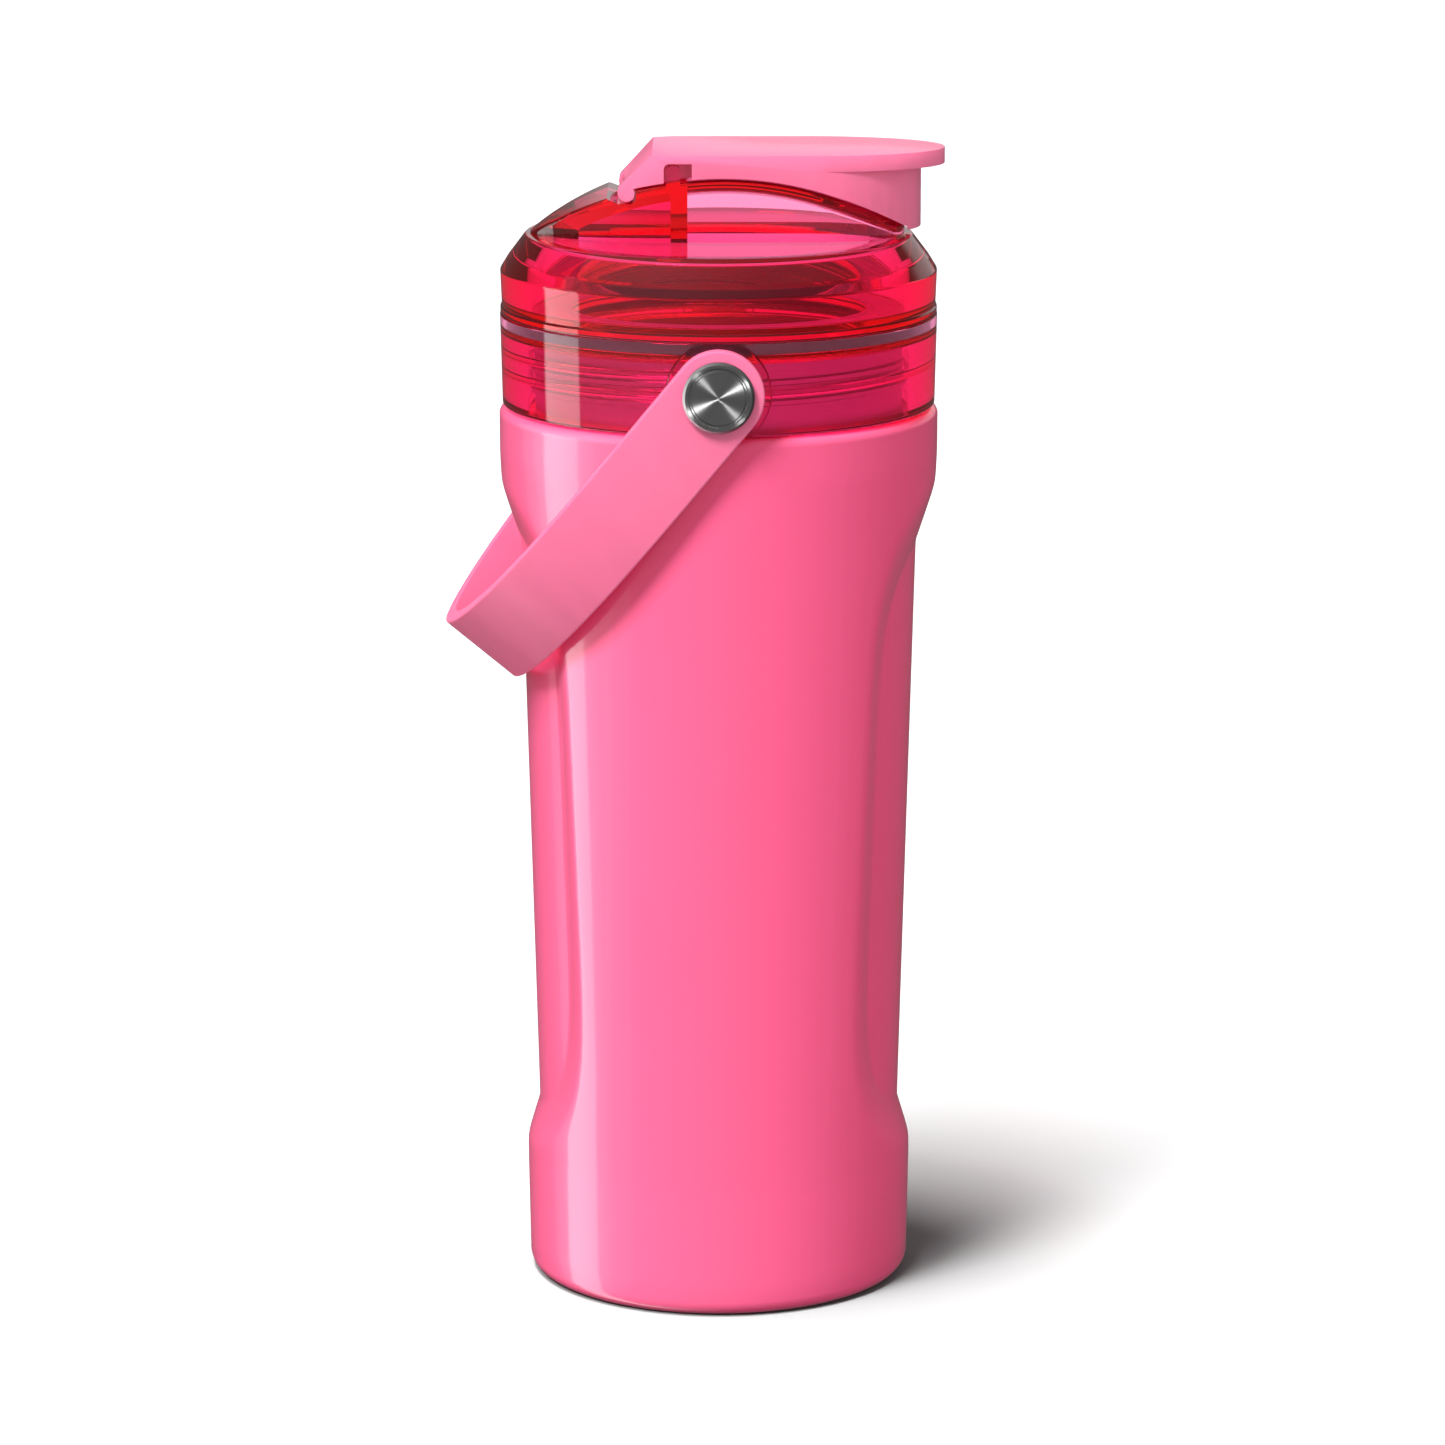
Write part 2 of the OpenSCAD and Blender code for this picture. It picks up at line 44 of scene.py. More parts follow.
# ------------------------------------------------------- sizes, in millimetres
PIVOT = 190.35  # height of the loop's pivots
FOOT_R, FOOT_CORNER = 39.1, 3.0
CONE_Z0, CONE_R0, CONE_Z1, CONE_R1 = 26.0, 39.6, 168.0, 44.2
CONE_END = 172  # the side is upright above this height
BODY_H, SHOULDER_CORNER, WALL = 181.3, 2.0, 0.8
NECK_R = 37.0
RECESS_R, RECESS_Z, FLOOR_TOP, AXIS_HOLE = 33.0, 3.0, 3.8, 1.5
# A grip at its outer edge, and how far each side moves in down its ramp
GRIP_HALF, GRIP_HALF_IN = 33.6, 7.0
GRIP_TOP, GRIP_TOP_IN = 165.6, 11.9
GRIP_BOTTOM, GRIP_BOTTOM_IN = 27.4, 8.4
GRIP_POWER_ACROSS, GRIP_POWER_UP = 2.5, 5.9
GRIP_DEPTH, GRIP_DEEPER, GRIP_DEEPER_Z, GRIP_DEEPER_H = 2.85, 0.75, 36, 116
# The lid and the arch that it carries
LID_R, LID_BOTTOM, LID_TOP = 44.0, 200.25, 216.1
ROOM_R, ROOM_LEDGE, ROOM_TOP, THROAT_R = 37.6, 202.3, 213.9, 29.6
ARCH_R, ARCH_CX, ARCH_Z, ARCH_HALF = 68.0, 1.0, 228.6, 16.0
ARCH_TIP, ARCH_END, ROUND_X = 37.4, -38.5, 19.0
TAPER_X, TAPER_L, TAPER_POWER = -10, 28.4, 1.7
SPOUT_X, SPOUT_R, SPOUT_BORE, SPOUT_TOP = 27.0, 8.3, 6.5, 228
POCKET_X0, POCKET_X1, POCKET_Z0, POCKET_HALF = -27.5, -9.5, 211.1, 8.6
# The collar
COLLAR_BORE, COLLAR_BOTTOM, COLLAR_TOP = 38.4, 181.6, 200.05
BOSS_R, BOSS_HOLE_R = 10.4, 3.2
CENTRE = 0.02  # radius of the small flats where a turned solid meets its axis


# ---------------------------------------------------------------- node helpers
class Graph:
    """A thin wrapper that adds nodes and links them in one call."""

    def __init__(self, tree):
        self.tree = tree
        tree.nodes.clear()

    def add(self, kind, inputs=None, **props):
        n = self.tree.nodes.new(kind)
        for k, v in props.items():
            setattr(n, k, v)
        for k, v in (inputs or {}).items():
            if isinstance(v, bpy.types.NodeSocket):
                self.tree.links.new(v, n.inputs[k])
            else:
                n.inputs[k].default_value = v
        return n

    def math(self, op, a, b=0.0, c=0.0):
        return self.add("ShaderNodeMath", {0: a, 1: b, 2: c}, operation=op).outputs[0]

    def mix(self, factor, a, b):
        return self.add("ShaderNodeMix", {0: factor, 6: a, 7: b}, data_type="RGBA").outputs[2]

    def span(self, value, a, b, lo=0.0, hi=1.0):
        """lo at a, hi at b, with a soft step between."""
        return self.add("ShaderNodeMapRange", {0: value, 1: a, 2: b, 3: lo, 4: hi},
                        interpolation_type="SMOOTHSTEP").outputs[0]

    def end(self, shader, volume=None):
        out = self.add("ShaderNodeOutputMaterial", {"Surface": shader})
        if volume is not None:
            self.tree.links.new(volume, out.inputs["Volume"])


def material(name):
    m = bpy.data.materials.new(name)
    m.use_nodes = True
    return m, Graph(m.node_tree)


def grey(value):
    return (value, value, value, 1)


def object_noise(g, scale, detail):
    where = g.add("ShaderNodeTexCoord").outputs["Object"]
    return g.add("ShaderNodeTexNoise", {"Vector": where, "Scale": scale, "Detail": detail}).outputs["Fac"]


def bump(g, height, strength, distance):
    return g.add("ShaderNodeBump", {"Height": height, "Strength": strength,
                                    "Distance": distance}).outputs["Normal"]


# ------------------------------------------------------------------- materials
def powder_coat():
    """Glossy powder coat: fine orange peel and a faint drift in its depth of colour."""
    m, g = material("powder_coat_look")
    drift = object_noise(g, 18, 2.0)
    colour = g.mix(drift, (0.91, 0.073, 0.205, 1), (0.97, 0.081, 0.225, 1))
    peel = object_noise(g, 900, 2.0)
    wave = object_noise(g, 160, 1.0)
    height = g.math("ADD", g.math("MULTIPLY", peel, 0.35), wave)
    p = g.add("ShaderNodeBsdfPrincipled", {
        "Base Color": colour, "Roughness": g.math("MULTIPLY_ADD", peel, 0.06, 0.29), "IOR": 1.5,
        "Specular IOR Level": 0.45, "Coat Weight": 0.55, "Coat Roughness": 0.06, "Coat IOR": 1.5,
        "Normal": bump(g, height, 0.02, 0.0004), "Coat Normal": bump(g, height, 0.012, 0.0004)})
    g.end(p.outputs[0])
    return m


def steel(name, tone):
    """Metal with fine lines drawn round the upright axis."""
    m, g = material(name)
    where = g.add("ShaderNodeTexCoord").outputs["Object"]
    stretch = g.add("ShaderNodeMapping", {"Vector": where, "Scale": (60, 60, 2600)}).outputs[0]
    lines = g.add("ShaderNodeTexNoise", {"Vector": stretch, "Scale": 1.0, "Detail": 4.0}).outputs["Fac"]
    colour = g.mix(lines, (tone * 0.86, tone * 0.86, tone * 0.88, 1), (tone, tone, tone * 1.01, 1))
    p = g.add("ShaderNodeBsdfPrincipled", {
        "Base Color": colour, "Metallic": 1.0,
        "Roughness": g.math("MULTIPLY_ADD", lines, 0.12, 0.3),
        "Normal": bump(g, lines, 0.05, 0.0002)})
    g.end(p.outputs[0])
    return m


def turned_steel():
    """Face-turned steel: fine rings about the pivot's axis that spread each highlight into a fan."""
    m, g = material("turned_steel_look")
    where = g.add("ShaderNodeTexCoord").outputs["Object"]
    xyz = g.add("ShaderNodeSeparateXYZ", {0: where})
    x = xyz.outputs["X"]
    z = g.math("SUBTRACT", xyz.outputs["Z"], PIVOT * MM)
    radius = g.math("SQRT", g.math("ADD", g.math("MULTIPLY", x, x), g.math("MULTIPLY", z, z)))
    rings = g.add("ShaderNodeTexNoise", {"W": g.math("MULTIPLY", radius, 9000.0), "Scale": 1.0,
                                         "Detail": 3.0}, noise_dimensions="1D").outputs["Fac"]
    tangent = g.add("ShaderNodeCombineXYZ", {0: z, 1: 0.0, 2: g.math("MULTIPLY", x, -1.0)}).outputs[0]
    p = g.add("ShaderNodeBsdfPrincipled", {
        "Base Color": g.mix(rings, grey(0.30), grey(0.42)), "Metallic": 1.0, "Roughness": 0.42,
        "Anisotropic": 1.0, "Normal": bump(g, rings, 0.08, 0.00005), "Tangent": tangent})
    g.end(p.outputs[0])
    return m


def clear_pink(name, density, colour):
    """Tinted clear plastic with a faint painted red glow that lightens its dark parts, and that lets lamps
    reach what is inside.
    """
    m, g = material(name)
    flow = object_noise(g, 60, 1.0)
    glass = g.add("ShaderNodeBsdfPrincipled", {
        "Base Color": (1, 1, 1, 1), "Transmission Weight": 1.0, "Roughness": 0.0, "IOR": 1.5,
        # painted glow: a faint red emission, not a lamp, that lightens the dark parts of the clear plastic
        "Emission Color": (1.0, 0.02, 0.06, 1), "Emission Strength": 0.022,
        "Normal": bump(g, flow, 0.03, 0.001)})
    lamps = g.add("ShaderNodeBsdfTransparent", {"Color": (1.0, 0.55, 0.72, 1)})
    ray = g.add("ShaderNodeLightPath").outputs["Is Shadow Ray"]
    both = g.add("ShaderNodeMixShader", {0: ray, 1: glass.outputs[0], 2: lamps.outputs[0]})
    inside = g.add("ShaderNodeVolumeAbsorption", {"Color": colour, "Density": density})
    g.end(both.outputs[0], inside.outputs[0])
    return m


def moulded(name, colour, darker, rough, grain=700, depth=0.03, sss=0.0, coat=0.0):
    """Opaque moulded plastic or silicone with a fine spark-eroded grain."""
    m, g = material(name)
    drift = object_noise(g, 25, 2.0)
    fine = object_noise(g, grain, 3.0)
    p = g.add("ShaderNodeBsdfPrincipled", {
        "Base Color": g.mix(drift, (*darker, 1), (*colour, 1)),
        "Roughness": g.math("MULTIPLY_ADD", fine, 0.1, rough - 0.05),
        "Subsurface Weight": sss, "Subsurface Radius": (0.004, 0.0012, 0.002), "Subsurface Scale": 0.5,
        "Coat Weight": coat, "Coat Roughness": 0.15, "Normal": bump(g, fine, depth, 0.0003)})
    g.end(p.outputs[0])
    return m


# ---------------------------------------------------------------- mesh helpers
def smooth(mesh, look):
    for p in mesh.polygons:
        p.use_smooth = True
    mesh.materials.clear()
    mesh.materials.append(look)


def new_object(name, mesh):
    obj = bpy.data.objects.new(name, mesh)
    scene.collection.objects.link(obj)
    return obj


def mesh_of(name, points, faces):
    """A mesh from points in millimetres."""
    mesh = bpy.data.meshes.new(name)
    mesh.from_pydata((np.asarray(points, float) * MM).tolist(), [], [list(f) for f in faces])
    return mesh


def add_mesh(name, points, faces, look):
    """A smooth-shaded piece from points in millimetres."""
    mesh = mesh_of(name, points, faces)
    mesh.validate()
    mesh.update()
    smooth(mesh, look)
    return new_object(name, mesh)


def place(obj, body, replaced):
    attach(obj, body)
    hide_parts(replaced)


def loop_faces(rows, cols, closed_rows=True):
    """Quads of a grid of points, row by row. Each row is closed."""
    faces = []
    for i in range(rows if closed_rows else rows - 1):
        for j in range(cols):
            a, b = i * cols + j, i * cols + (j + 1) % cols
            c, d = ((i + 1) % rows) * cols + (j + 1) % cols, ((i + 1) % rows) * cols + j
            faces.append((a, b, c, d))
    return faces


def capped(rows, cols):
    """Faces of a tube of rows with both of its ends closed."""
    last = (rows - 1) * cols
    return loop_faces(rows, cols, closed_rows=False) + [
        tuple(reversed(range(cols))), tuple(range(last, last + cols))]


def arc(cx, cz, r, a0, a1, steps):
    return [(cx + r * math.cos(math.radians(a0 + (a1 - a0) * i / steps)),
             cz + r * math.sin(math.radians(a0 + (a1 - a0) * i / steps))) for i in range(steps + 1)]


def edge_round(x, z, e):
    """The last points of a quarter round of radius e that ends level at (x - e, z)."""
    return [(x - e + e * math.cos(a), z - e + e * math.sin(a)) for a in np.linspace(0, math.pi / 2, 6)[1:]]


def turned_points(profile, segments):
    turn = np.linspace(0, 2 * math.pi, segments, endpoint=False)
    return np.concatenate([np.stack([r * np.cos(turn), r * np.sin(turn), np.full(segments, z)], 1)
                           for r, z in profile])


def lathe(profile, segments):
    """Points and faces of a closed profile of (radius, height) turned about Z."""
    return turned_points(profile, segments), loop_faces(len(profile), segments)


def disc(profile, segments):
    """Points and faces of a solid turned about Z, from its bottom centre to its top centre."""
    return turned_points(profile, segments), capped(len(profile), segments)


def shifted(data, x):
    return data[0] + np.array([x, 0, 0]), data[1]


def rounded(corners, radii, steps):
    """A closed polygon with each corner replaced by a curve of its own radius."""
    out = []
    n = len(corners)
    for i in range(n):
        here = np.array(corners[i], float)
        a, b = np.array(corners[i - 1], float) - here, np.array(corners[(i + 1) % n], float) - here
        if radii[i] <= 0:
            out.append(tuple(here))
            continue
        la, lb = np.linalg.norm(a), np.linalg.norm(b)
        a, b = a / la, b / lb
        half = math.acos(float(np.clip(a @ b, -1, 1))) / 2
        back = min(radii[i] / math.tan(half), 0.48 * la, 0.48 * lb)
        p, q = here + a * back, here + b * back
        for k in range(steps + 1):
            t = k / steps
            out.append(tuple((1 - t) ** 2 * p + 2 * t * (1 - t) * here + t * t * q))
    return out


def pivot_bar(r, y0, y1, edge, segments, side):
    """Points and faces of a round bar along the loop's axis, on one side, with its outer rim rounded."""
    rim = [(r, y0), (r, y1 - edge)] + (edge_round(r, y1, edge) if edge else [])
    points, faces = disc(rim, segments)
    points = np.stack([points[:, 0], points[:, 2] * side, points[:, 1] + PIVOT], 1)
    return points, [tuple(reversed(f)) for f in faces] if side < 0 else faces


def side_cut(outline, y0, y1):
    """Points and faces of an (x, z) outline carried along Y."""
    return np.array([(x, y, z) for y in (y0, y1) for x, z in outline]), capped(2, len(outline))


def merged(name, add, cut, look, body, replaced):
    """One clean piece: the union of the first parts, less the others."""
    made = []

    def part(data):
        mesh = mesh_of("part", *data)
        bm = bmesh.new()
        bm.from_mesh(mesh)
        bmesh.ops.remove_doubles(bm, verts=bm.verts, dist=1e-7)
        bmesh.ops.recalc_face_normals(bm, faces=bm.faces)
        bm.to_mesh(mesh)
        bm.free()
        made.append(new_object("part", mesh))
        return made[-1]

    base = part(add[0])
    for how, group in (("UNION", add[1:]), ("DIFFERENCE", cut)):
        for data in group:
            b = base.modifiers.new("b", "BOOLEAN")
            b.object, b.operation, b.solver = part(data), how, "MANIFOLD"
    bpy.context.view_layer.update()
    mesh = bpy.data.meshes.new_from_object(base.evaluated_get(bpy.context.evaluated_depsgraph_get()))
    for obj in made:
        bpy.data.meshes.remove(obj.data)
    mesh.name = name
    smooth(mesh, look)
    mesh.set_sharp_from_angle(angle=math.radians(30))
    obj = new_object(name, mesh)
    even = obj.modifiers.new("even", "WEIGHTED_NORMAL")
    even.keep_sharp = True
    even.weight = 60
    place(obj, body, replaced)


def softened(src, name, width, segments, look, body):
    """A copy of a CAD node's mesh with its sharp edges rounded."""
    bm = bmesh.new()
    bm.from_mesh(nodes[src].data)
    bmesh.ops.remove_doubles(bm, verts=bm.verts, dist=2e-6)
    bmesh.ops.dissolve_limit(bm, angle_limit=math.radians(0.4), verts=bm.verts, edges=bm.edges,
                             use_dissolve_boundaries=False)
    mesh = bpy.data.meshes.new(name)
    bm.to_mesh(mesh)
    bm.free()
    smooth(mesh, look)
    obj = new_object(name, mesh)
    b = obj.modifiers.new("edges", "BEVEL")
    b.width, b.segments, b.limit_method = width * MM, segments, "ANGLE"
    b.angle_limit = math.radians(35)
    b.harden_normals = True
    b.use_clamp_overlap = True
    place(obj, body, src)


# ------------------------------------------------------------------- the body
def side_r(z):
    """Outer radius of the steel body without its grips."""
    return np.where(z < CONE_Z0, FOOT_R + (CONE_R0 - FOOT_R) * z / CONE_Z0,
                    CONE_R0 + (CONE_R1 - CONE_R0) * (np.minimum(z, CONE_END) - CONE_Z0) / (CONE_Z1 - CONE_Z0))


def grip(turn, z):
    """Depth of a grip at an angle from its middle and a height. Its ramp starts at q 0 and ends at q 1."""
    lo = np.full(np.shape(turn), -0.8)
    hi = np.full(np.shape(turn), 1.2)
    width = np.abs(turn) * side_r(z)
    for _ in range(26):
        q = (lo + hi) / 2
        top, bottom = GRIP_TOP - GRIP_TOP_IN * q, GRIP_BOTTOM + GRIP_BOTTOM_IN * q
        f = (np.abs(width / (GRIP_HALF - GRIP_HALF_IN * q)) ** GRIP_POWER_ACROSS
             + np.abs((z - (top + bottom) / 2) / ((top - bottom) / 2)) ** GRIP_POWER_UP)
        inside = f < 1
        lo, hi = np.where(inside, q, lo), np.where(inside, hi, q)
    q = (lo + hi) / 2
    soft_start, soft_end = 0.13, 0.04
    soft = (q + np.sqrt(q * q + soft_start ** 2)) / 2
    soft = soft - (soft - 1 + np.sqrt((soft - 1) ** 2 + soft_end ** 2)) / 2
    fade = np.clip((q + 0.8) / 0.3, 0, 1)
    floor = GRIP_DEPTH + GRIP_DEEPER * np.clip((z - GRIP_DEEPER_Z) / GRIP_DEEPER_H, 0, 1)
    return floor * np.maximum(soft, 0) * fade


def steel_body():
    """The double-walled shell's outer skin: a closed surface with finer rows and columns at the grips."""
    fine = np.arange(-56, 56.1, 1.0)
    plain = np.linspace(56, 124, 20)[1:-1]
    angles = np.radians(np.concatenate([fine, plain, 180 + fine, 180 + plain]))
    cols = len(angles)
    turn = (angles + math.pi / 2) % math.pi - math.pi / 2
    rows = []

    def ring(r, z):
        rows.append(np.stack([np.full(cols, r), np.full(cols, z)], 1))

    recess = [(AXIS_HOLE, RECESS_Z), (RECESS_R - 0.6, RECESS_Z), (RECESS_R, RECESS_Z - 0.4), (RECESS_R, 0.5),
              (RECESS_R + 0.5, 0.0)]
    for r, z in recess + arc(FOOT_R - FOOT_CORNER, FOOT_CORNER, FOOT_CORNER, -90, 0, 8)[:-1]:
        ring(r, z)
    crown = float(side_r(np.array(175.0))) + 0.05
    for z in np.concatenate([
            np.linspace(FOOT_CORNER, 22, 6), np.arange(22.7, 60, 0.7), np.arange(60, 126, 3.0),
            np.arange(126, 170, 0.7), np.linspace(170, BODY_H - SHOULDER_CORNER, 8)]):
        r = side_r(np.full(cols, z)) - grip(turn, np.full(cols, z))
        ring(np.minimum(r, crown) if z > CONE_END else r, z)
    shoulder = arc(crown - SHOULDER_CORNER, BODY_H - SHOULDER_CORNER, SHOULDER_CORNER, 0, 90, 8)[1:]
    for r, z in shoulder + [(NECK_R + 0.4, BODY_H), (NECK_R, BODY_H - 0.4)]:
        ring(r, z)
    for z in np.concatenate([[BODY_H - 1.2], np.arange(176, 3.9, -4.0), [FLOOR_TOP]]):
        r = side_r(np.full(cols, z)) - grip(turn, np.full(cols, z)) - WALL - 0.1
        if z > 179:
            r = np.minimum(r, NECK_R)
        ring(r - 1.6 if z < 5 else r, z)
    for r, z in [(RECESS_R + 0.9, 1.0), (RECESS_R + 0.8, FLOOR_TOP), (AXIS_HOLE, FLOOR_TOP)]:
        ring(r, z)
    points = np.concatenate([
        np.stack([row[:, 0] * np.cos(angles), row[:, 0] * np.sin(angles), row[:, 1]], 1) for row in rows])
    obj = add_mesh("steel_body", points, loop_faces(len(rows), cols), powder_coat())
    place(obj, "bottle", "outer_shell")
    return obj


# --------------------------------------------------------- the two clear parts
def arch_top(x, d=0.0):
    """Height of the arch's curve, or of a curve d below it."""
    return ARCH_Z - ARCH_R + np.sqrt((ARCH_R - d) ** 2 - (x - ARCH_CX) ** 2)


def arch_block(half, x0, tip, z0, d=0.0, edge=0.9, tail=True):
    """A block under the arch's curve, with an oval tip, a narrowing left end and rounded top edges."""
    xs = [x0 + (ROUND_X - x0) * i / 44 for i in range(44)] + [
        ROUND_X + (tip - ROUND_X) * math.sin(math.pi / 2 * i / 16) for i in range(17)]
    if tail:
        steps = [TAPER_L * (1 - math.cos(math.pi / 2 * i / 22)) for i in range(22)]
        xs = [ARCH_END + 0.02 + s for s in steps if ARCH_END + s > x0 + 0.3] + [
            x for x in xs if x > TAPER_X + 0.5]
    points = []
    for x in xs:
        w = half
        if x > ROUND_X:
            w *= math.sqrt(max(1e-5, 1 - ((x - ROUND_X) / (tip - ROUND_X)) ** 2))
        if x < TAPER_X:
            along = min(1, (TAPER_X - x) / (TAPER_X - ARCH_END))
            w *= max(0.012, 1 - along ** TAPER_POWER) ** (1 / TAPER_POWER)
        e = min(edge, 0.7 * w)
        top = float(arch_top(x, d))
        half_way = [(w, z0), (w, top - e)] + edge_round(w, top, e)
        points += [(x, y, z) for y, z in half_way] + [(x, -y, z) for y, z in reversed(half_way)]
    return np.array(points), capped(len(xs), len(points) // len(xs))


def helix(root, crest, z0, lead, turns, start=0.0):
    """A helical ridge of the CAD's thread form, with run-outs at both ends."""
    n = int(96 * turns)
    points = []
    for i in range(n + 1):
        a = math.radians(start) + 2 * math.pi * turns * i / n
        z = z0 + lead * turns * i / n
        c = root + (crest - root) * max(0.1, min(1.0, i / 8, (n - i) / 8))
        for r, h in ((root, -0.9), (c, -0.4), (c, 0.4), (root, 0.9)):
            points.append((r * math.cos(a), r * math.sin(a), z + h))
    return np.array(points), loop_faces(n + 1, 4, closed_rows=False) + [
        (3, 2, 1, 0), (4 * n, 4 * n + 1, 4 * n + 2, 4 * n + 3)]


def clear_lid():
    outside = [(CENTRE, LID_BOTTOM)] + rounded(
        [(38, LID_BOTTOM), (LID_R, LID_BOTTOM), (LID_R, 201.5), (43.72, 201.9), (LID_R, 208.9),
         (42.4, 211.5), (38.9, LID_TOP), (30, LID_TOP)], [0, 0.15, 0.2, 0.15, 1.1, 3.0, 0.7, 0], 7)
    outside = outside[:-1] + [(38.0, LID_TOP), (36, LID_TOP), (CENTRE, LID_TOP)]
    hollow = [(CENTRE, 186)] + rounded(
        [(THROAT_R, 186), (THROAT_R, ROOM_LEDGE), (ROOM_R, ROOM_LEDGE), (ROOM_R, 209), (35.5, ROOM_TOP),
         (30, ROOM_TOP)], [0, 0.4, 0.5, 1.2, 1.2, 0], 6) + [(CENTRE, ROOM_TOP)]
    skirt = [(30.0, 187.5), (31.4, 187.5), (31.4, 201.3), (30.0, 201.3)]
    post = rounded([(-10.4, 224), (-10.4, 231.4), (-7.6, 231.4), (-7.6, 224)], [0, 1.35, 1.35, 0], 8)
    trough = rounded([(-16.4, 223.6), (-20.2, 223.6), (-22.9, 224.75), (-22.9, 226.2), (-20.4, 227.6),
                      (-16.4, 227.6)], [1.9, 1.2, 0.3, 0, 0, 1.9], 8)
    low = float(arch_top(SPOUT_X)) - 3
    tube = [(CENTRE, low)] + rounded([(SPOUT_R, low), (SPOUT_R, SPOUT_TOP), (7, SPOUT_TOP)], [0, 0.4, 0], 4)
    bore = [(CENTRE, 216), (SPOUT_BORE, 216), (SPOUT_BORE, 236), (CENTRE, 236)]
    add = [disc(outside, 192), lathe(skirt, 160),
           helix(31.0, 32.2, 189.6, 8, 0.5), helix(31.0, 32.2, 189.6, 8, 0.5, 180),
           arch_block(ARCH_HALF, ARCH_END, ARCH_TIP, 215.0),
           side_cut(post, 13.2, 16.0), side_cut(post, -16.0, -13.2),
           shifted(disc(tube + [(CENTRE, SPOUT_TOP)], 96), SPOUT_X)]
    cut = [disc(hollow, 160), arch_block(14.2, -6.2, 35.6, POCKET_Z0, 1.8, 1.4, tail=False), hinge_pocket(),
           shifted(disc(bore, 96), SPOUT_X), side_cut(trough, -20, 20)]
    merged("clear_lid", add, cut, clear_pink("lid_clear_look", 340.0, (0.97, 0.0, 0.48, 1)), "lid",
           "lid")


def hinge_pocket():
    """The cored-out room at the hinge end, rounded on top."""
    roof = [(x, float(arch_top(x, 4.0))) for x in np.linspace(POCKET_X0, POCKET_X1, 25)]
    outline = rounded([(POCKET_X0, POCKET_Z0)] + roof + [(POCKET_X1, POCKET_Z0)],
                      [0, 2.0] + [0] * 23 + [1.2, 0], 6)
    return side_cut(outline, -POCKET_HALF, POCKET_HALF)


def clear_collar():
    ring = rounded(
        [(COLLAR_BORE, COLLAR_BOTTOM), (43.35, COLLAR_BOTTOM), (43.68, 182.0), (44.1, 199.9),
         (44.0, COLLAR_TOP), (42.9, COLLAR_TOP), (42.9, 197.6), (32.9, 197.6), (32.9, 186), (34.4, 186),
         (34.4, 196.4), (COLLAR_BORE, 196.4)],
        [0.3, 0.25, 0.25, 0.1, 0.05, 0.1, 0.4, 0.3, 0.3, 0.3, 0.6, 0.6], 4)
    boss = [pivot_bar(BOSS_R, 39.4, 44.5, 0.5, 128, side) for side in (-1, 1)]
    holes = [pivot_bar(BOSS_HOLE_R, 40.4, 46.5, 0, 64, side) for side in (-1, 1)]
    trim = [lathe([(30, low), (60, low), (60, high), (30, high)], 96)
            for low, high in ((COLLAR_TOP, 206), (176, COLLAR_BOTTOM))]
    threads = [helix(38.8, 37.45, 186.4, 4, 1.8), helix(33.3, 32.0, 191.6, 8, 0.5),
               helix(33.3, 32.0, 191.6, 8, 0.5, 180)]
    merged("clear_collar", [lathe(ring, 192)] + boss + threads, holes + trim,
           clear_pink("collar_clear_look", 340.0, (0.95, 0.0, 0.5, 1)), "bottle", "collar")


# ------------------------------------------------------------------ the pieces
body = steel_body()
softened("carry_loop", "loop_strap", 0.9, 4,
         moulded("loop_silicone_look", (0.89, 0.175, 0.33), (0.86, 0.16, 0.31), 0.5, grain=1400, sss=0.15),
         "loop")
softened("flip_cap", "cap_shell", 0.8, 3,
         moulded("cap_plastic_look", (0.97, 0.20, 0.37), (0.94, 0.185, 0.35), 0.3, grain=1200, depth=0.02,
                 sss=0.1, coat=0.3),
         "cap")
clear_lid()
clear_collar()
BUTTONS = ("front_button", "back_button")
for look, names in (
        (steel("bare_steel_look", 0.62), ("threaded_neck", "base_plate", "inner_liner", "hinge_pin",
                                          "mixing_ball", "getter", "front_screw", "back_screw")),
        (steel("brass_look", 0.6), ("front_insert", "back_insert")),
        (turned_steel(), BUTTONS),
        (moulded("nylon_look", (0.8, 0.76, 0.66), (0.75, 0.71, 0.6), 0.42), ("front_bush", "back_bush")),
        (moulded("gasket_look", (0.022, 0.008, 0.01), (0.018, 0.006, 0.008), 0.6),
         ("vacuum_seal", "lid_gasket")),
        (moulded("seal_look", (0.75, 0.30, 0.42), (0.70, 0.27, 0.39), 0.5), ("neck_gasket", "spout_seal"))):
    for name in names:
        nodes[name].data.materials.clear()
        nodes[name].data.materials.append(look)

# ----------------------------------------------------- camera, floor and light
camera = new_object("camera", bpy.data.cameras.new("camera"))
camera.location = (0, -1.16477, 0.37674)
camera.rotation_euler = (math.radians(77.33), 0, 0)
camera.data.sensor_width = 36
camera.data.lens = 145.07
camera.data.shift_x = 0.0027
camera.data.clip_start = 0.05
camera.data.clip_end = 50
scene.camera = camera


def white_floor():
    """A floor that shows as white where it is lit, and throws little light back on the bottle."""
    m, g = material("floor_look")
    ray = g.add("ShaderNodeLightPath")
    seen = g.math("MAXIMUM", ray.outputs["Is Camera Ray"], ray.outputs["Is Transmission Ray"])
    grain = object_noise(g, 40, 2.0)
    lit = g.add("ShaderNodeBsdfDiffuse", {"Color": g.mix(grain, grey(0.124), grey(0.128))})
    dim = g.add("ShaderNodeBsdfDiffuse", {"Color": grey(0.056)})
    g.end(g.add("ShaderNodeMixShader", {0: seen, 1: dim.outputs[0], 2: lit.outputs[0]}).outputs[0])
    far = 9000
    obj = add_mesh("floor", [(-far, -far, 0), (far, -far, 0), (far, far, 0), (-far, far, 0)], [(0, 1, 2, 3)], m)
    obj.visible_glossy = False
    return obj


floor = white_floor()
parts = [o for o in scene.collection.objects if o.type == "MESH" and o not in (floor, body)]


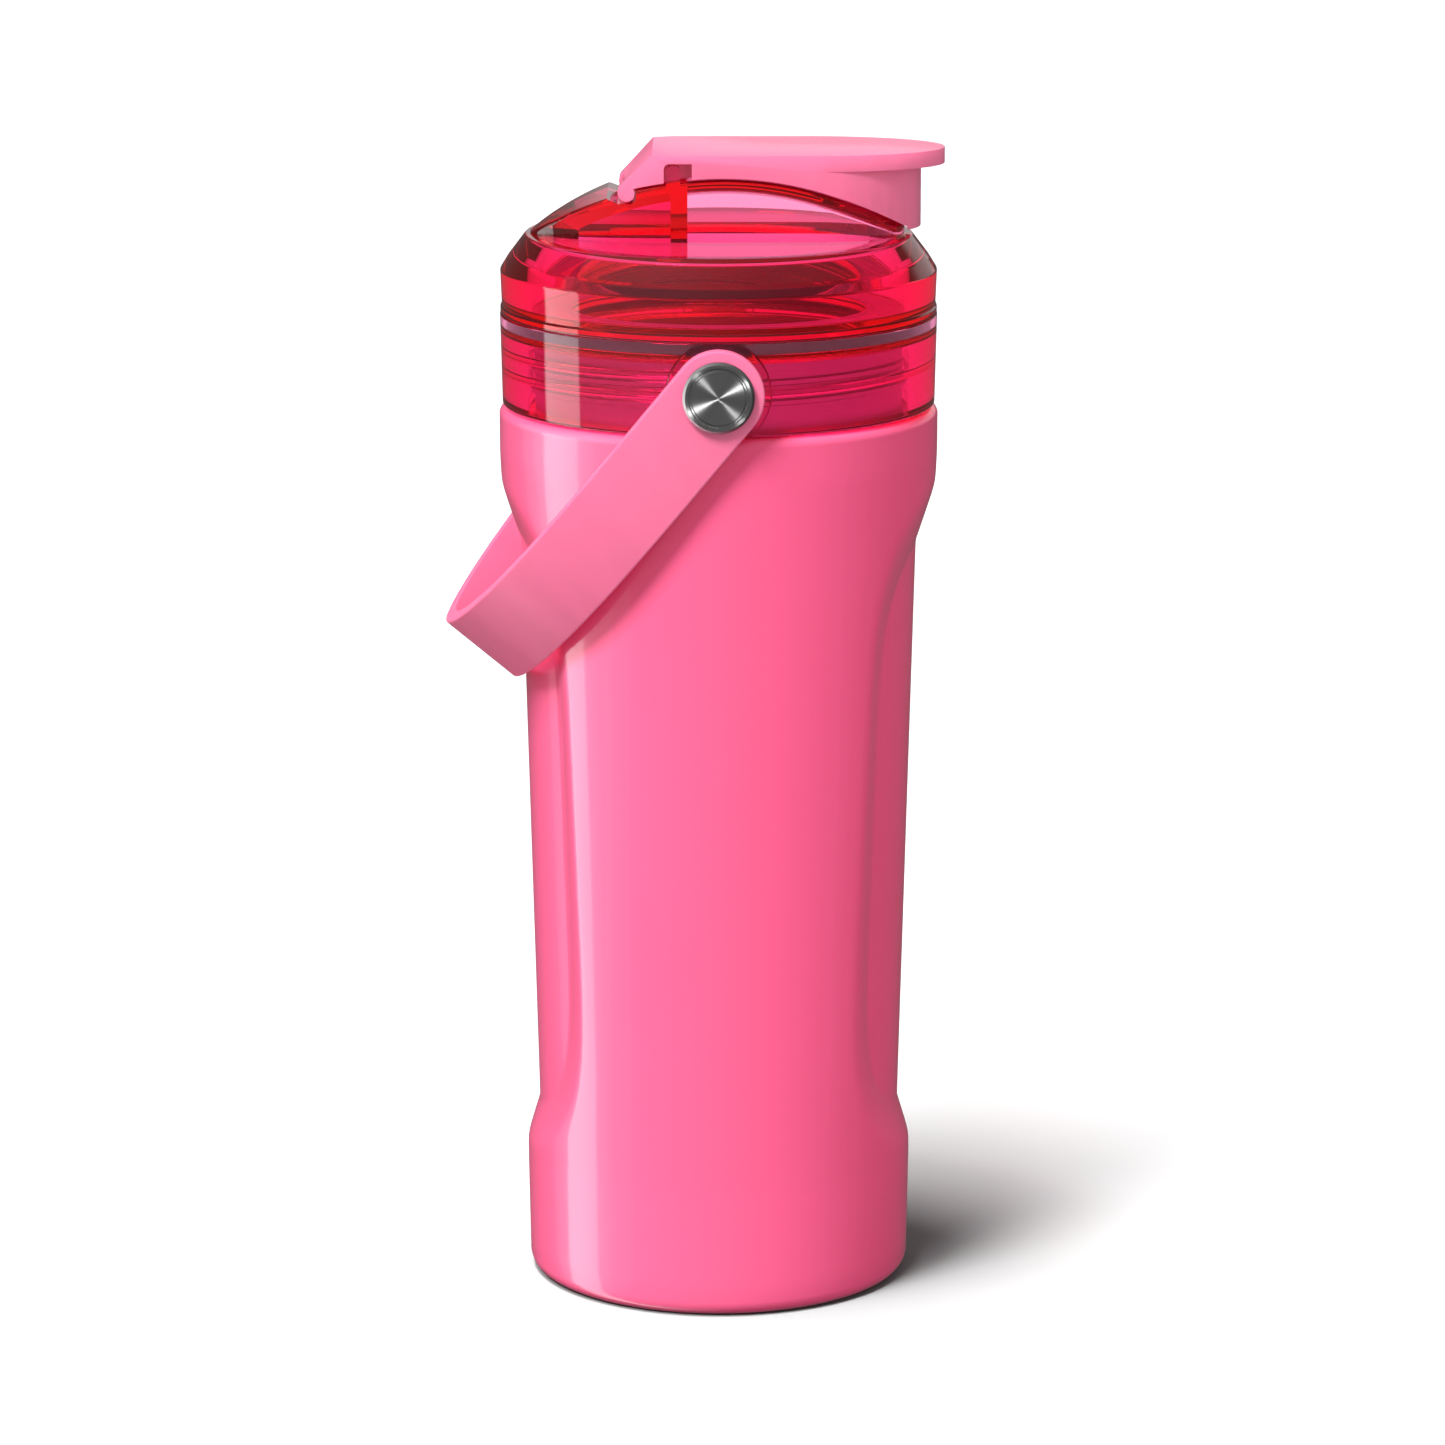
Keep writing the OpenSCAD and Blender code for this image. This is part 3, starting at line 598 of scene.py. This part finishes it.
def lit_group(name, objects):
    group = bpy.data.collections.new(name)
    for o in objects:
        group.objects.link(o)
    return group


on_floor = lit_group("lit_floor", [floor])
on_parts = lit_group("lit_parts", parts)
on_body = lit_group("lit_body", [body])
on_buttons = lit_group("lit_buttons", [nodes[name] for name in BUTTONS])


def sun(name, azimuth, elevation, size, strength, receivers, tint=(1, 1, 1), diffuse=True, glossy=False):
    """A soft sun. Azimuth 0 is behind the camera, and negative is to its left."""
    lamp = bpy.data.lights.new(name, "SUN")
    lamp.energy, lamp.angle = strength, math.radians(size)
    lamp.color = tint
    obj = new_object(name, lamp)
    a, e = math.radians(azimuth), math.radians(elevation)
    towards = Vector((math.sin(a) * math.cos(e), -math.cos(a) * math.cos(e), math.sin(e)))
    obj.rotation_euler = towards.to_track_quat("Z", "Y").to_euler()
    obj.visible_diffuse, obj.visible_glossy = diffuse, glossy
    obj.light_linking.receiver_collection = receivers


sun("key_on_parts", -40, 50, 20, 4.2, on_parts)
sun("low_on_floor", -40, 50, 15, 8.0, on_floor)
sun("high_on_floor", -40, 72, 15, 11.0, on_floor)
sun("top_on_floor", -75, 82, 15, 13.0, on_floor)
sun("key_on_body", -38, 50, 20, 4.2, on_body, tint=(1.0, 1.9, 1.45))
for step, (size, strength) in enumerate(((44, 0.3), (60, 0.42), (76, 0.6), (92, 0.75))):
    sun(f"sheen_{step}", -85, 14, size, strength, on_body, diffuse=False, glossy=True)
sun("fan_left", -48, 50, 12, 6.0, on_buttons, glossy=True)
sun("fan_right", 58, 32, 12, 2.6, on_buttons, glossy=True)


def studio():
    """The world: what the gloss mirrors, what the clear parts show behind them, and the fill."""
    world = bpy.data.worlds.new("studio")
    scene.world = world
    world.use_nodes = True
    g = Graph(world.node_tree)
    ray = g.add("ShaderNodeLightPath")
    way = g.add("ShaderNodeTexCoord").outputs["Generated"]
    x, y, z = g.add("ShaderNodeSeparateXYZ", {0: way}).outputs
    azimuth = g.math("MULTIPLY", g.math("ARCTAN2", x, g.math("MULTIPLY", y, -1.0)), 180 / math.pi)
    left = g.math("MULTIPLY", g.span(azimuth, -106, -103), g.span(azimuth, 50, -75))
    strip = g.math("MULTIPLY", g.span(azimuth, -106, -103), g.span(azimuth, -78, -80))
    mirror = g.math("ADD", g.math("MULTIPLY_ADD", left, 0.35, 0.1),
                    g.math("MULTIPLY", strip, g.span(z, 0.3, 0.1, 0.0, 3.6)))
    roof = g.span(z, 0.6, 0.9, 0.0, 0.2)
    horizon = g.math("MULTIPLY", g.math("MULTIPLY", g.span(y, 0.35, 0.8, 0.0, 0.55), g.span(x, -0.14, -0.07)),
                     g.math("MULTIPLY", g.span(z, 0.0, 0.06), g.span(z, 0.34, 0.24)))
    mirror = g.math("ADD", g.math("ADD", mirror, roof), horizon)
    behind = g.math("MULTIPLY_ADD", g.span(y, -0.4, 0.6), 0.3, 0.7)
    fill = g.math("ADD", g.span(x, -0.4, 0.9, 0.62, 0.92), g.span(x, 0.2, -0.9, 0.0, 0.06))
    value = g.mix(ray.outputs["Is Glossy Ray"], fill, mirror)
    value = g.mix(ray.outputs["Is Transmission Ray"], value, behind)
    value = g.mix(ray.outputs["Is Camera Ray"], value, grey(1))
    back = g.add("ShaderNodeBackground", {"Color": value, "Strength": 1.0})
    g.add("ShaderNodeOutputWorld", {"Surface": back.outputs[0]})


studio()
